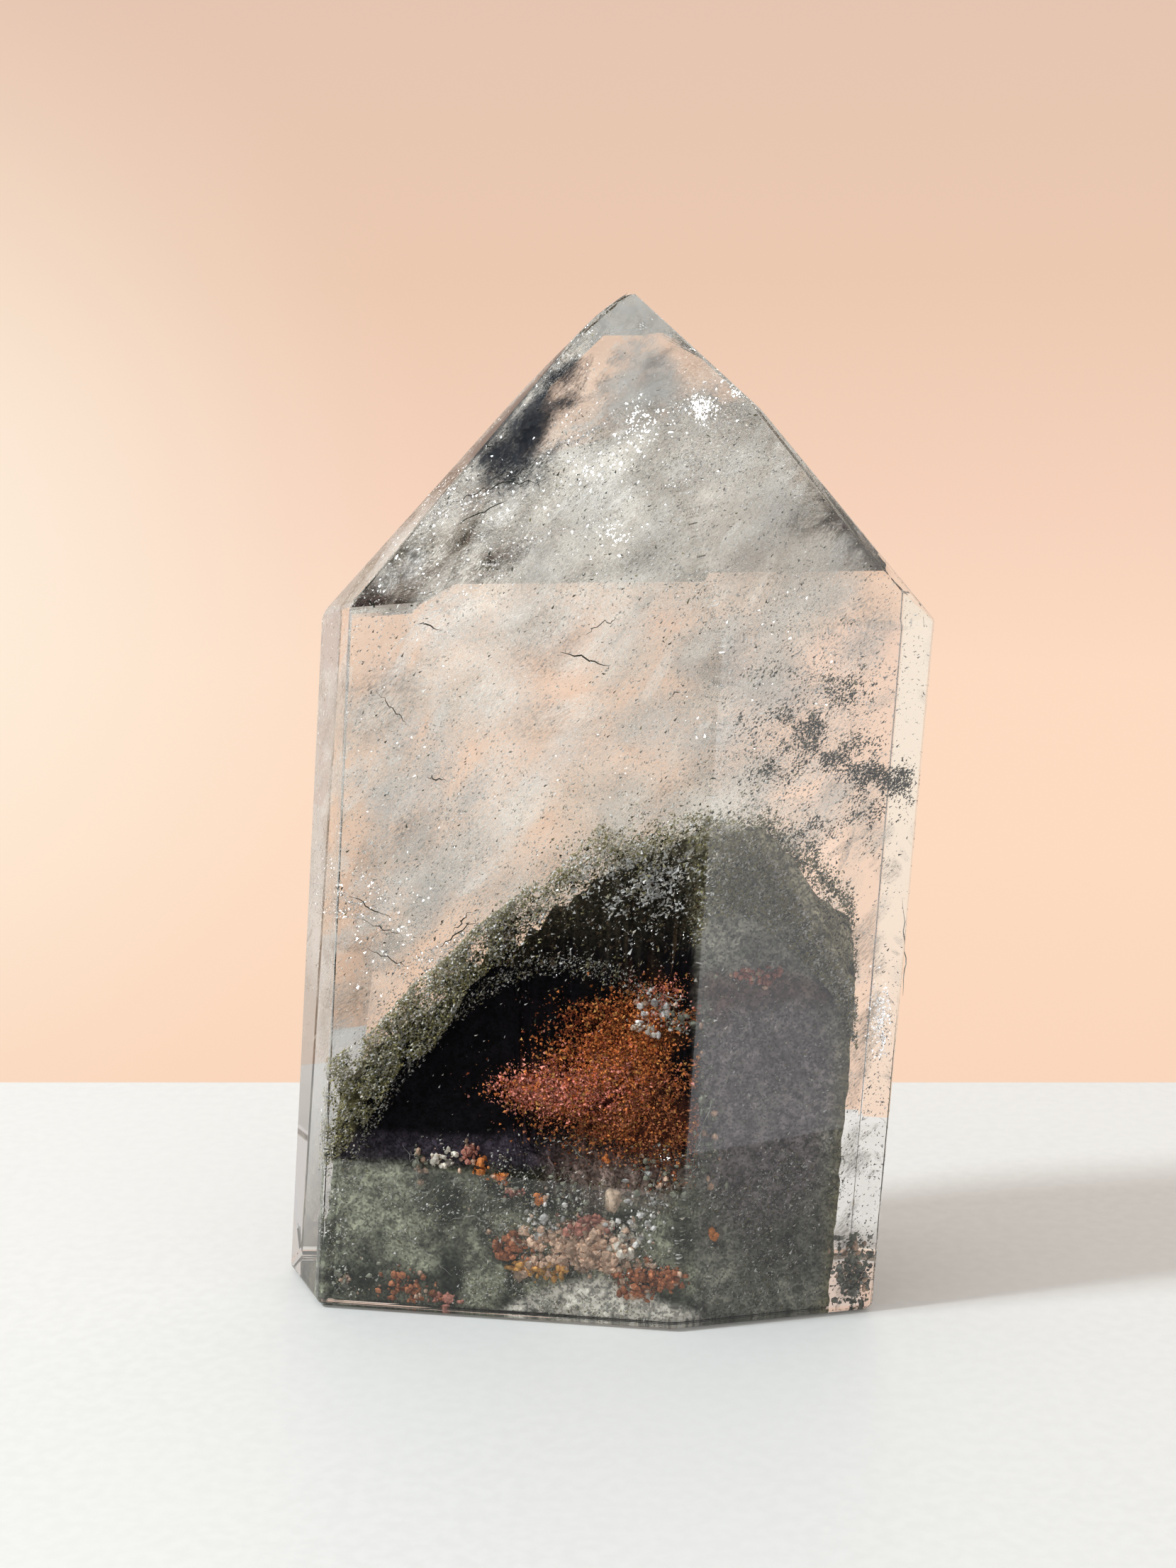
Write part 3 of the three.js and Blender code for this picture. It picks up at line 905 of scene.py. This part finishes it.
# Grains low on the front as (x, z, half width, half height, colour, count)
CLUSTER_SPOTS = [
    (-1.6, 5.8, 1.5, 0.7, BEIGE, 380), (0.2, 4.9, 1.3, 0.5, BEIGE, 240), (-3.6, 4.3, 0.9, 0.35, BEIGE, 120),
    (-0.8, 7.3, 0.8, 0.4, DULL_PINK, 110), (-5.4, 3.7, 0.45, 0.25, SAND, 60), (-4.4, 3.8, 0.8, 0.3, SAND, 50),
    (1.9, 6.2, 0.6, 0.7, CREAM, 60), (-6.2, 5.2, 0.8, 0.6, RUST, 60), (2.6, 3.6, 0.8, 0.5, RUST, 60),
]
DEBRIS_SPOTS = [
    (-9.4, 12.3, 0.3, 0.4, DULL_PINK, 36), (-8.6, 11.4, 0.3, 0.3, ORANGE, 22),
    (-7.2, 10.4, 0.35, 0.25, ORANGE, 22), (-6.2, 9.4, 0.4, 0.2, DULL_PINK, 26),
    (-11.5, 11.8, 0.55, 0.3, CREAM, 50), (-13.2, 11, 0.3, 0.9, GREY_GREEN, 40),
    (-4.2, 9.2, 0.2, 0.2, ORANGE, 12), (-2.4, 9.6, 0.7, 0.6, GREY_GREEN, 40),
    (-3.8, 7.6, 1.2, 0.8, WHITE, 50), (3.2, 8.2, 0.9, 1.3, WHITE, 70), (4.2, 11.2, 0.9, 1.2, GREY_GREEN, 60),
    (8.3, 6.7, 0.2, 0.2, ORANGE, 20), (10.6, 26.3, 0.7, 0.25, DULL_PINK, 46),
    (12, 26, 0.45, 0.3, DULL_PINK, 34), (-14.3, 1.6, 1.2, 0.6, RUST, 90),
    (-11.8, 0.9, 0.9, 0.3, DULL_PINK, 30), (4.3, 23.6, 0.8, 0.8, WHITE, 90),
    (5.9, 23, 0.7, 0.5, GREY_GREEN, 70), (3.4, 22.4, 0.5, 0.3, CREAM, 40),
    (-8.2, 8.3, 1.5, 1.6, GREY_GREEN, 60), (0.6, 12.2, 0.16, 0.3, ORANGE, 10),
    (19.2, 2.6, 0.9, 1.4, (0.32, 0.32, 0.29), 220), (19.2, 3.2, 0.8, 1.4, GREY_GREEN, 110),
    (-18.6, 2.4, 1.2, 1.2, GREY_GREEN, 40), (7.8, 15, 0.5, 4, GREY_GREEN, 90), (5.2, 4, 0.5, 0.25, RUST, 60),
    (4.2, 3.2, 0.7, 0.3, RUST, 100), (3, 2.4, 0.5, 0.22, RUST, 50),
]


def make_clusters(material):
    """Lumps low on the front: the pale cluster, a round pebble above it, and crumbs strewn round them."""
    rng = np.random.default_rng(31)
    for name, spots, largest, nodes in (
        ("pale_cluster", CLUSTER_SPOTS, 0.40, ["pale_grain_cluster"]),
        ("crumbs", DEBRIS_SPOTS, 0.26, []),
    ):
        counts = [spot[5] for spot in spots]
        places, tints = strewn_tinted(rng, spots, counts, [BEIGE], [6, 1], vary=0.45)
        radii = 0.07 + largest * rng.random(len(places)) ** 2
        centres = on_wall(places[:, 0], places[:, 1], rng.uniform(-0.2, 0.2, len(places)))
        inside = depth_inside(centres) > radii + 0.1
        lumps(name, "pale_grains", rng, centres[inside], radii[inside], tints[inside], material, nodes=nodes)
    pebble = on_wall([1.2], [9.3], -0.25)
    lumps("round_pebble", "pale_grains", rng, pebble, [0.78], [(0.74, 0.58, 0.44)], material, fine=3)


# Mist, dust, veils and needles in the clear part

# Spots on the front as (x, z, half width, half height, share)
MIST_SPOTS = [
    (2, 63, 7, 4, 11), (10, 60, 5, 4, 8), (-6, 58, 6, 4, 8), (-12, 50, 6, 6, 6), (1, 50, 8, 4, 5),
    (-15.5, 39, 4, 9, 15), (-8, 38, 6, 5, 4), (15, 48, 4, 4, 2), (16, 39, 4, 5, 4), (20.5, 24, 1.2, 7, 9),
    (20.5, 9, 1.2, 6, 14), (0, 43, 9, 4, 6), (-15, 29, 3, 4, 6), (2.2, 69, 2, 1.6, 60),
    (1, 71.5, 0.9, 0.9, 30), (14, 58, 3, 3, 6), (9, 36, 4, 2, 5), (-19.6, 43, 1, 8, 14), (-19.6, 29, 1, 6, 8),
]
# Near black lenses: along the clear patch at the left of the point they are painted shade, in the bottom
# right corner they are smoke
SMOKE_AND_SHADE_SPOTS = [
    (-2.6, 69.2, 0.8, 1, 1), (-4.8, 66.6, 0.9, 1.1, 1.6), (-6.8, 63.8, 1.2, 0.9, 1.8),
    (18.9, 2.8, 0.8, 1.6, 0.4),
]
DUST_SPOTS = [
    (0, 45, 14, 9, 6), (13, 42, 5, 5, 4), (15, 50, 4, 4, 3), (8, 38, 6, 3, 2), (-15, 42, 4, 8, 3),
    (2, 62, 6, 4, 6), (10, 60, 4, 3, 2), (0, 54, 9, 3, 2.5), (-14, 28, 4, 5, 2.5), (20.5, 14, 1.5, 8, 1.5),
    (-9, 35, 5, 5, 2),
]
CLUMP_SPOTS = [
    (19.4, 2.4, 0.9, 1.6, 1.2), (12.7, 41.9, 1.4, 0.9, 1.4), (14.4, 44.7, 1.2, 0.8, 1.4),
    (17.1, 42.5, 1.4, 0.9, 2), (20, 40.8, 1.2, 0.9, 1.4), (22, 40.2, 0.8, 0.7, 0.6),
    (15.6, 36.5, 1.6, 0.9, 1), (10.5, 45.2, 1, 0.8, 0.5), (17.5, 47, 1.4, 1, 0.7),
    (19.5, 37.5, 1.2, 1.2, 0.9), (12.5, 48.5, 1.2, 0.8, 0.4),
]

# The dark clear patch at the left of the point runs between these two (x, z)
CLEAR_FROM, CLEAR_TO, CLEAR_HALF_WIDTH = np.array((-1.2, 71.2)), np.array((-7.4, 62.6)), 1.7


def off_clear_patch(x, z):
    """Distance of (x, z) from the clear patch at the left of the point, negative in it."""
    run = CLEAR_TO - CLEAR_FROM
    places = np.column_stack([x, z]) - CLEAR_FROM
    part = np.clip(places @ run / (run @ run), 0.0, 1.0)
    return np.linalg.norm(places - part[:, None] * run, axis=1) - CLEAR_HALF_WIDTH


def lens(rings=4, around=12):
    """A closed flat lens of radius 1: its plan, its half thickness, and its faces."""
    radii = np.repeat(np.arange(1, rings + 1) / rings, around)
    angles = np.tile(np.arange(around), rings) * math.tau / around
    plan = np.concatenate([[[0.0, 0.0]], radii[:, None] * np.column_stack([np.cos(angles), np.sin(angles)])])
    height = 1.0 - (plan**2).sum(axis=1)

    # Both sides share the corners of the rim
    within = len(plan) - around
    near_side = np.arange(len(plan))
    far_side = np.where(near_side < within, near_side + len(plan), near_side)
    faces = []
    for corners, order in ((near_side, 1), (far_side, -1)):
        index = corners[1:].reshape(rings, around)
        faces += [face[::order] for face in fan(int(corners[0]), index[0]) + strips(index)]
    return np.concatenate([plan, plan[:within]]), np.concatenate([height, -height[:within]]), faces


# Flat sides of the healed cracks face between the viewer in front and the key light
CRACKS_FACE = (-0.41, -0.72, 0.56)
PALE_MIST = [(1, 0.97, 0.92), (1, 0.92, 0.83), (0.8, 0.78, 0.75)]
# Near black of the painted shade at the point and of the smoke in the bottom right corner
DARK_SMOKE_AND_SHADE = (0.02, 0.023, 0.03)


def make_mist(material):
    """Healed cracks in the clear part: thin crumpled lenses of pale streaks, some painted darker as shade,
    and near black ones: painted shade in the clear patch at the point, smoke in the bottom right corner.
    """
    rng = np.random.default_rng(43)
    pale = in_spots(rng, MIST_TRIED, MIST_SPOTS, (1.0, 18.0), clump=5.0, gaps=(0.0, 0.05))
    pale_room = np.minimum(depth_inside(pale) - 0.3, off_clear_patch(pale[:, 0], pale[:, 2]) - 0.2)
    # Painted shade in the clear patch at the point, and smoke in the bottom right corner
    smoke_and_shade = in_spots(rng, SMOKE_AND_SHADE_TRIED, SMOKE_AND_SHADE_SPOTS, (0.6, 3.0), clump=5.0, gaps=(0.0, 0.2))
    smoke_and_shade_room = np.minimum(depth_inside(smoke_and_shade) - 0.15, 2.2)
    centres, room = np.concatenate([pale, smoke_and_shade]), np.concatenate([pale_room, smoke_and_shade_room])
    # Painted shade: the pale mist is darker on the left below z 56 and towards the point, standing in for
    # greyer reflections seen there
    light = 0.86 - 0.26 * soft(-pale[:, 0], 7.0, 13.0) * soft(56.0 - pale[:, 2], 0.0, 6.0)
    light -= 0.40 * soft(pale[:, 2], 63.5, 67.0)
    pale_tints = light[:, None] * pick(rng, len(pale), PALE_MIST, [4, 3, 1.5], vary=0.1)
    tints = np.concatenate([pale_tints, pick(rng, len(smoke_and_shade), [DARK_SMOKE_AND_SHADE], [1])])

    # A lens keeps off the faces and the clear patch, and only narrow parts of the stone hold small ones
    narrow = np.maximum(soft(centres[:, 2], 62.0, 67.0), soft(np.abs(centres[:, 0]), 17.5, 19.0))
    wide = room > np.where(np.arange(len(room)) < len(pale), 0.9 - 0.5 * narrow, 0.3)
    centres, room, tints = centres[wide], room[wide], tints[wide]
    count = len(centres)
    radii = np.minimum(rng.uniform(3.0, 8.0, count), room)
    across = turned(rng, count, CRACKS_FACE, 0.35)
    first = unit(np.cross(np.cross(across, turned(rng, count, UP_RIGHT, 0.25)), across))
    plan, height, faces = lens()
    axes = np.stack([first, np.cross(across, first) * rng.uniform(0.4, 0.9, (count, 1))], axis=1)
    vertices = centres[:, None] + plan @ axes * radii[:, None, None]
    crumple = noise(vertices.reshape(-1, 3), 1.7).reshape(vertices.shape[:2]) - 0.5
    offset = height * 0.03 + crumple * 0.35 * radii[:, None] * np.abs(height)
    vertices += offset[..., None] * across[:, None]
    left = soft(np.abs(height), 0.0, 0.9)
    rgba = np.concatenate([np.repeat(tints, len(plan), axis=0), np.tile(left, count)[:, None]], axis=1)
    every = [[corner + number * len(plan) for corner in face] for number in range(count) for face in faces]
    mist = mesh_object("mist", vertices.reshape(-1, 3), every, material, rgba, smooth=True)
    return keep(mist, "clear_quartz")


def make_dust(plain):
    """Fine pale and dark grains through the clear part, and dark clumps at the right."""
    rng = np.random.default_rng(41)
    points = in_spots(rng, DUST_TRIED, DUST_SPOTS, (0.3, 12.0), clump=1.4, gaps=(0.2, 0.8))
    points = points[off_clear_patch(points[:, 0], points[:, 2]) > 0][:DUST_KEPT]
    tints = pick(rng, len(points), [WHITE, CREAM, (0.42, 0.41, 0.39)], [4, 2, 3])
    grains("pale_dust", "clear_quartz", rng, points, (0.08, 0.40), tints, plain, width=0.4)
    points = in_spots(rng, DARK_TRIED, DUST_SPOTS, (0.3, 12.0), clump=1.4)
    clumps = in_spots(rng, CLUMPS_TRIED, CLUMP_SPOTS, (0.4, 2.4), clump=1.1, gaps=(0.48, 0.62))
    points = np.concatenate([points, clumps])
    tints = pick(rng, len(points), [(0.06, 0.065, 0.05), (0.16, 0.16, 0.13), OLIVE], [4, 3, 1])
    grains("dark_dust", "chlorite", rng, points, (0.09, 0.46), tints, plain, width=0.42)


def on_line(line, place):
    """The x and z at places on a line, whose points have the places 0, 1, 2 and so on."""
    return [np.interp(place, np.arange(len(line)), value) for value in zip(*line)]


def sheet_points(rng, line, deep, depth, ripple, count):
    """Points on a curved sheet that starts at a line of (x, z) on the front and runs back and down."""
    x, z = on_line(line, rng.random(count) * (len(line) - 1))
    back = rng.random(count)
    points = behind(x, z, depth + deep[1] * back)
    points += np.column_stack([deep[0] * back, np.zeros(count), deep[2] * back])
    points[:, 2] += ripple * (rough_noise(points, 3.0) - 0.5)
    return points[in_clear(points, 0.25) & in_clumps(rng, points, 1.4, (0.2, 0.7))]


# The mound shades the flakes to the right of this x
SHADED_FROM = 17.0


def towards_key(points):
    """Direction that a mirror flake inside the stone faces to send the near key light to the camera.

    Flakes in the mound's shade send the bright part of the room.
    """
    to_eye = -bent_sight(*front_of(FRONT_PLANES, points[:, 0], points[:, 2]))
    lamp = KEY_AIM - key_travel() * INSIDE_DISTANCE
    shaded = (points[:, 0] > SHADED_FROM)[:, None]
    return unit(unit(to_eye) + np.where(shaded, ROOM_LIGHT, unit(lamp - points)))


# Sheets as their line of (x, z) on the front, their run to the right, back and up, their depth behind the
# front, their ripple and how many flakes are tried


VEILS = [
    ([(-12, 60), (-7.3, 61.1), (-4.2, 63.6), (-1.2, 65.6), (1.7, 67.1), (4.7, 67.6), (7.7, 67.6),
      (10.5, 67.5)], (-2, 9, -2), 0.8, 3.0, 9000),
    ([(-13, 55), (-10.4, 56.1), (-7.3, 57.6), (-3.2, 58.7), (0.8, 60.2), (4.2, 61.7), (8, 63.5)],
     (1, 12, -3), 1.2, 3.0, 7000),
    ([(-20, 36), (-18.6, 32.2), (-15.8, 31.8), (-12.8, 27.2), (-9.5, 29.5)], (-1, 7, -3), 1.0, 3.0, 5000),
    ([(-4, 40), (1, 42), (6, 43), (10, 44), (15, 46), (21, 47)], (0, 12, 2), 2.0, 9.0, 1500),
]
GLINT_SPOTS = [
    (7.2, 66.8, 0.5, 0.5, 7), (9.6, 68, 0.2, 0.2, 1.2), (3.1, 66.3, 0.8, 0.6, 1.6),
    (2.7, 64.9, 0.7, 0.7, 2.2), (-0.1, 62.7, 1.4, 0.8, 2), (1.2, 58.1, 0.7, 0.5, 1.6),
    (4.9, 13.2, 0.15, 0.15, 0.3), (-4, 60, 4, 2, 1.5), (20.8, 22.5, 0.45, 1.3, 16), (-16, 29, 2.5, 2.5, 1.8),
    (5, 41, 6, 5, 1), (14, 52, 4, 3, 0.8), (-17, 54, 1, 1, 0.6), (2, 33, 3, 2, 0.7), (-15, 46, 3, 7, 0.8),
]

# Needles and threads as lines of (x, z) on the front
DARK_NEEDLES = [
    [(-13, 51.6), (-11.4, 51.1)], [(-2.8, 49.7), (-1, 49.3), (0.8, 48.7)], [(-12.5, 40.4), (-11.1, 40.3)],
    [(-16.1, 46.6), (-14.8, 45.2), (-13.6, 44.1)], [(-16.6, 53.2), (-16, 52.6)], [(5.1, 46.7), (5.7, 47.2)],
    [(-18.4, 31.6), (-15, 29.9)], [(-17.6, 29.9), (-14.2, 28.7)], [(-17, 27.6), (-13.8, 26.4)],
    [(-11.8, 27.9), (-8.9, 30.2)], [(-10.6, 29.3), (-9.4, 30.6)], [(-10.8, 59.9), (-7.2, 61.4), (-3.4, 61.9)],
    [(-10.2, 58.6), (-6.4, 60.4)], [(-1.2, 50.9), (0.4, 51.8), (1.6, 52.1)],
]
PALE_THREADS = [
    [(-18.4, 4.9), (-17, 6.4), (-15.4, 7.5)], [(-14.7, 6.2), (-13.4, 5.4), (-12.3, 4.4), (-10.8, 3.2)],
    [(-13.4, 10.3), (-13.6, 9.8), (-13.1, 9.5), (-12.2, 9.6)], [(-15.2, 9.1), (-15.6, 9.9)],
    [(-9.7, 6.5), (-7.6, 5.8)], [(-14.4, 12.9), (-13.6, 11.4), (-13, 9.9)], [(-13.9, 12.6), (-13.2, 11.6)],
    [(-11, 7.4), (-9.4, 7.9), (-8, 7.3)], [(10.3, 20.9), (9.4, 19), (8.1, 17), (7.2, 14.4), (6.2, 10.3)],
    [(11, 27.8), (13.1, 27.1), (16.3, 24.6)], [(1.6, 12.6), (2.9, 11.4)], [(2.9, 12.4), (4.4, 10.9)],
    [(-2.4, 14), (-0.6, 12.2)], [(9.2, 24.3), (10.9, 22.8)], [(-5.4, 12.2), (-4.2, 10.6)],
    [(4.4, 25.4), (5.6, 24.8), (6.3, 24.9)], [(2.9, 24.3), (3.6, 23.2), (3.3, 22.4)],
    [(22.2, 31.6), (22.6, 27), (22.4, 24)],
]


def threads(name, slot, rng, lines, depths, thickness, tints, material):
    """Thin tapered threads in one mesh, along lines of (x, z) at a depth behind the front faces."""
    around, vertices, faces, total = 4, [], [], 0
    turns = np.arange(around)[:, None] * math.tau / around
    for line in lines:
        smooth = on_line(line, np.linspace(0.0, len(line) - 1, 5 * len(line)))
        x, z = (value + 0.09 * rng.normal(size=len(value)) for value in smooth)
        points = behind(x, z, rng.uniform(*depths))
        forward = unit(np.gradient(points, axis=0))
        side = unit(np.cross(forward, (0.0, 1.0, 0.0)))
        thick = thickness * rng.uniform(0.7, 1.3) * np.sin(np.linspace(0.15, math.pi - 0.15, len(points)))
        ring = np.cos(turns) * side[:, None] + np.sin(turns) * np.cross(side, forward)[:, None]
        vertices.append((points[:, None] + thick[:, None, None] * ring).reshape(-1, 3))
        index = total + np.arange(len(points) * around).reshape(-1, around)
        faces += strips(index) + [index[0].tolist(), index[-1][::-1].tolist()]
        total += len(points) * around
    vertices = np.concatenate(vertices)
    tints = pick(rng, len(vertices), tints, [1] * len(tints))
    return keep(mesh_object(name, vertices, faces, material, tints), slot)


def make_threads(material):
    """Dark needles in the clear part, and pale scratches, lint and crack edges low on the front."""
    rng = np.random.default_rng(61)
    dark = [(0.03, 0.03, 0.025), DARK_GREEN]
    threads("dark_needles", "chlorite", rng, DARK_NEEDLES, (0.5, 2.0), 0.045, dark, material)
    pale = [(0.55, 0.55, 0.52), GREY_GREEN, (0.20, 0.20, 0.17)]
    threads("pale_threads", "pale_grains", rng, PALE_THREADS, (0.12, 0.22), 0.035, pale, material)


def make_veils(mirror):
    """Healed cracks: flakes like small mirrors on curved sheets, and some that face the key light."""
    rng = np.random.default_rng(51)
    points = np.concatenate([sheet_points(rng, *veil) for veil in VEILS])
    tints = np.full((len(points), 3), 0.9)
    grains("veils", "clear_quartz", rng, points, (0.10, 0.36), tints, mirror,
           width=0.5, thickness=0.12, thin=(-0.25, -0.45, 0.86), spread=0.3)
    points = in_spots(rng, GLINTS_TRIED, GLINT_SPOTS, (0.4, 2.2), gaps=(0.0, 0.9))
    tints = np.full((len(points), 3), 0.95)
    grains("glints", "clear_quartz", rng, points, (0.06, 0.34), tints, mirror,
           thickness=0.12, thin=towards_key(points), spread=0.06)


make_camera()
make_world()
floor = make_floor()
crystal = make_crystal()

chlorite = mineral_material("chlorite", roughness=0.7, grain=0.16, variation=0.5)
loose_chlorite = mineral_material("loose_chlorite", roughness=0.6)
earthy = mineral_material("iron_oxide", roughness=0.75)
pale_stone = mineral_material("pale_grains", roughness=0.55, grain=0.20, variation=0.25)
mirror = mineral_material("healed_crack", roughness=0.25, metallic=1.0)
make_mound(chlorite)
make_fringe(loose_chlorite)
make_flecks(loose_chlorite)
make_bloom(earthy)
make_clusters(pale_stone)
mist = make_mist(mist_material())
make_dust(loose_chlorite)
make_threads(loose_chlorite)
make_veils(mirror)

inside = [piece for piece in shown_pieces() if piece.type == "MESH" and piece != crystal]
solid = [piece for piece in inside if piece != mist]
make_key("key", [floor, crystal], KEY_DISTANCE, KEY_WATTS, KEY_COLOUR)
make_key("key_inside", inside, INSIDE_DISTANCE, INSIDE_WATTS, INSIDE_COLOUR, blockers=solid)

scene = bpy.context.scene
scene.view_settings.view_transform = "Standard"
scene.cycles.max_bounces = 16
scene.cycles.glossy_bounces = 10
scene.cycles.transmission_bounces = 16
scene.cycles.transparent_max_bounces = 64
